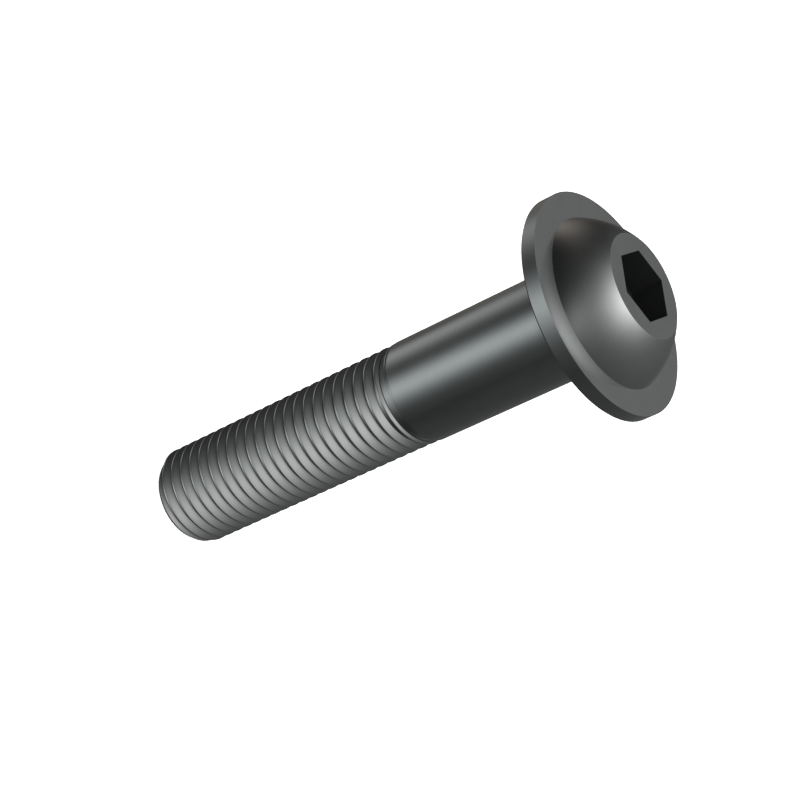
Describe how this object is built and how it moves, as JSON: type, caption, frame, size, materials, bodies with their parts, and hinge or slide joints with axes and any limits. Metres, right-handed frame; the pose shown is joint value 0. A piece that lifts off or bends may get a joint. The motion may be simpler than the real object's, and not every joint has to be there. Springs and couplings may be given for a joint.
{
  "type": "flanged button head screw",
  "caption": "One-piece partly threaded metric screw with a domed head on a wide flat collar and a hexagon socket.",
  "frame": {"origin": "centre of the bearing face under the collar, on the screw's axis", "axes": "+Z along the screw's axis from the tip to the head; two flats of the hexagon socket face +X and -X"},
  "size_m": [0.034, 0.034, 0.0887],
  "materials": {
    "blackened_steel": "smooth dark grey blackened steel, satin on the head and shank, more matt on the thread"
  },
  "bodies": {
    "root": {"flanged_button_head_screw": "blackened_steel"}
  },
  "joints": []
}
